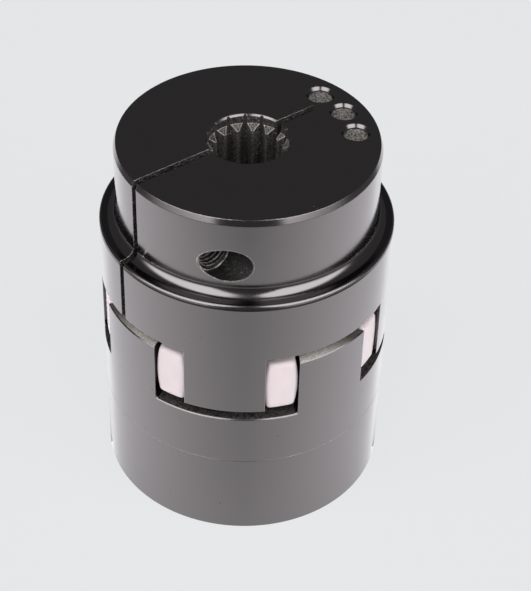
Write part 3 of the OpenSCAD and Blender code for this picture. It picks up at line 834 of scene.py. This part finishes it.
def spider():
    """Eight legs and their ring in one object."""
    leg, ring = spider_leg(), spider_ring()
    rows, cols = leg.shape[:2]
    parts, quads, start = [], [], 0
    for i in range(LEG_COUNT):
        parts.append(turned(leg, turn + (i + 0.5) * 2 * pi / LEG_COUNT).reshape(-1, 3))
        quads.append(grid_quads(rows, cols, wrap_cols=True, start=start))
        start += rows * cols
    parts.append(ring.reshape(-1, 3))
    quads.append(grid_quads(*ring.shape[:2], wrap_rows=True, wrap_cols=True, start=start))
    points, quads = np.concatenate(parts), np.concatenate(quads)
    return mesh_piece("spider_piece", points, quads, pink_polyurethane)


spider_piece = spider()
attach(spider_piece, "root")
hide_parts("spider")

# %% [markdown]
# ## Threads
#
# A thread is one function: the radius falls from the root to the crest and back once per pitch,
# and the whole pattern moves on by one pitch per turn. The inner threads are sleeves that line the
# holes of the solids, their roots just proud of the wall. Their hidden back lies a little way
# inside the steel.

# %% Thread function and sleeves
M12_PITCH, M8_PITCH = 1.75, 1.25
ROOT_FLAT, FLANK_SHARE = 0.15, 0.6  # shares of the triangle wave
SLEEVE_ROUND, SLEEVE_DEEP, SLEEVE_FADE = 144, 0.25, 1.0  # columns, depth in the wall, crest's end
CLEAR = 0.05  # between a sleeve's end and the screw or the face that it stops at
SCREW_TIP_Y, SET_HOLE_R, SET_SCREW_Z = 16.0, 4.0, 20.0


def thread_share(along, angle, pitch):
    """0 at a right-handed thread's root and 1 at its crest: a triangle wave clipped to flats."""
    phase = (along / pitch - angle / (2 * pi)) % 1.0
    wave = np.abs(2 * phase - 1)
    return np.clip((wave - ROOT_FLAT) / FLANK_SHARE, 0, 1)


def placed(radius, along, angle, at, axes, about=turn):
    """Rings round a line: at + r cos(a) X + r sin(a) Y + z Z, then turned. axes holds X, Y, Z."""
    local = np.stack(
        np.broadcast_arrays(radius * np.cos(angle), radius * np.sin(angle), along), -1)
    return turned(np.array(at) + local @ np.array(axes, float), about)


def sleeve(name, deep, mouth, root, crest, pitch, at, axes, step=0.08):
    """A threaded sleeve: rings from deep to the mouth, then back along its hidden outside.

    deep and mouth(angle) are distances along the hole's axis. The crest fades out over the last
    millimetre, as it does where a hole is countersunk lightly.
    """
    angle = np.linspace(0, 2 * pi, SLEEVE_ROUND, endpoint=False)[None, :]
    edge = mouth(angle)
    rows = int((edge.max() - deep) / step)
    share = np.linspace(0, 1, rows)[:, None]
    along = deep + share * (edge - deep)
    fade = np.clip((edge - along) / SLEEVE_FADE, 0, 1)
    inner = root - (root - crest) * thread_share(along, angle, pitch) * fade
    radius = np.concatenate([inner, np.full((2, angle.size), root + SLEEVE_DEEP)])
    along = np.concatenate([along, edge, np.full((1, angle.size), deep)])
    points = placed(radius, along, angle, at, axes)
    quads = grid_quads(rows + 2, angle.size, wrap_rows=True, wrap_cols=True)
    piece = mesh_piece(name, points, quads, blackened_steel, sharp=radians(75))
    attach(piece, "root")


def entry_floor(angle):
    """The clamp's thread starts at the flat floor of its entry bore."""
    return np.full_like(angle, ENTRY_Y - CLEAR)


def hub_wall(angle):
    """Where the set screw's hole meets the hub's wall: sqrt(R^2 - x^2), with x = r sin(angle)."""
    return np.sqrt(outer_r**2 - (SET_HOLE_R * np.sin(angle)) ** 2) - CLEAR


sleeve(
    "clamp_thread", deep=SCREW_TIP_Y + CLEAR, mouth=entry_floor, root=5.95, crest=5.1,
    pitch=M12_PITCH, at=(-clamp_r, 0, clamp_z), axes=((1, 0, 0), (0, 0, 1), (0, -1, 0)))
sleeve(
    "set_thread", deep=40.5 + CLEAR, mouth=hub_wall, root=3.95, crest=3.35,
    pitch=M8_PITCH, at=(0, 0, SET_SCREW_Z), axes=((0, 0, 1), (1, 0, 0), (0, 1, 0)))

# %% [markdown]
# ## Screws
#
# The clamp screw has a knurled head with a hexagon socket, and the set screw has its socket in its
# own end. Each is one closed surface: rings of points from the middle of the tip, along the
# thread, round the head, and down to the middle of the socket's floor.

# %% Rings of a screw
KNURLS, KNURL_DEEP = 48, 0.18
SEAT_EDGE = 0.4  # the chamfer at the head's seat, as a share of the one at its top
SOCKET_MOUTH, SOCKET_LEAD = 1.04, 0.05  # in shares of the distance to the hexagon's corner


def shank(tip, end, root, crest, pitch, edge, angle, step=0.12):
    """Thread rows: r = root + (crest - root) x share, under a 45 degree chamfer at either end."""
    along = np.linspace(tip, end, int((end - tip) / step))[:, None]
    radius = root + (crest - root) * thread_share(along, angle, pitch)
    return np.minimum(radius, crest - edge + np.minimum(along - tip, end - along)), along


def head(seat_r, high, edge, angle):
    """Rows of a knurled head: r = R - depth x |sin(n a / 2)| between two plain chamfers."""
    knurl = seat_r - KNURL_DEEP * np.abs(np.sin(KNURLS * angle / 2))
    plain = np.full_like(angle, seat_r - edge)
    radius = np.concatenate([plain + (1 - SEAT_EDGE) * edge, knurl, knurl, plain])
    return radius, np.array([0.0, SEAT_EDGE * edge, high - edge, high])[:, None]


def socket(top, across, deep, angle):
    """Rows of a hexagon socket, whose flats have r = (across / 2) / cos(a' - 30 degrees)."""
    flat = across / 2 / np.cos(angle % (pi / 3) - pi / 6)
    corner = across / 2 / cos(pi / 6)
    radius = np.concatenate([np.full_like(flat, SOCKET_MOUTH * corner), flat, flat, 0 * flat])
    return radius, top - np.array([0.0, SOCKET_LEAD * corner, deep, deep])[:, None]


def screw(name, node_name, parts, angle, at, axes, about):
    """One closed surface from parts of (radius, along), which starts on the axis at its tip."""
    parts = [(0 * angle, parts[0][1][:1])] + parts
    radius, along = (
        np.concatenate([np.broadcast_to(rows, (len(rows), angle.size)) for rows in column])
        for column in zip(*parts))
    points = placed(radius, along, angle, at, axes, about)
    piece = mesh_piece(name, points, grid_quads(*radius.shape, wrap_cols=True), oxide_steel)
    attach(piece, "root")
    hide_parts(node_name)


# %% Clamp screw and set screw
clamp_angle = np.linspace(0, 2 * pi, 6 * KNURLS, endpoint=False)[None, :]
clamp_parts = [
    shank(tip=-25.0, end=0.0, root=5.05, crest=5.95, pitch=M12_PITCH, edge=1.0, angle=clamp_angle),
    head(seat_r=9.0, high=12.0, edge=1.0, angle=clamp_angle),
    socket(top=12.0, across=10.0, deep=6.0, angle=clamp_angle),
]
screw(
    "clamp_screw_piece", "clamp_screw", clamp_parts, clamp_angle,
    at=(-clamp_r, 9.0, clamp_z), axes=((1, 0, 0), (0, 0, -1), (0, 1, 0)), about=turn)

set_angle = np.linspace(0, 2 * pi, AROUND, endpoint=False)[None, :]
set_parts = [
    shank(tip=0.0, end=16.0, root=3.3, crest=3.95, pitch=M8_PITCH, edge=0.8, angle=set_angle,
          step=0.1),
    socket(top=16.0, across=4.0, deep=5.0, angle=set_angle),
]
screw(
    "set_screw_piece", "set_screw", set_parts, set_angle,
    at=(24.5, 0, SET_SCREW_Z), axes=((0, 0, -1), (0, 1, 0), (1, 0, 0)), about=turn + pi / 2)
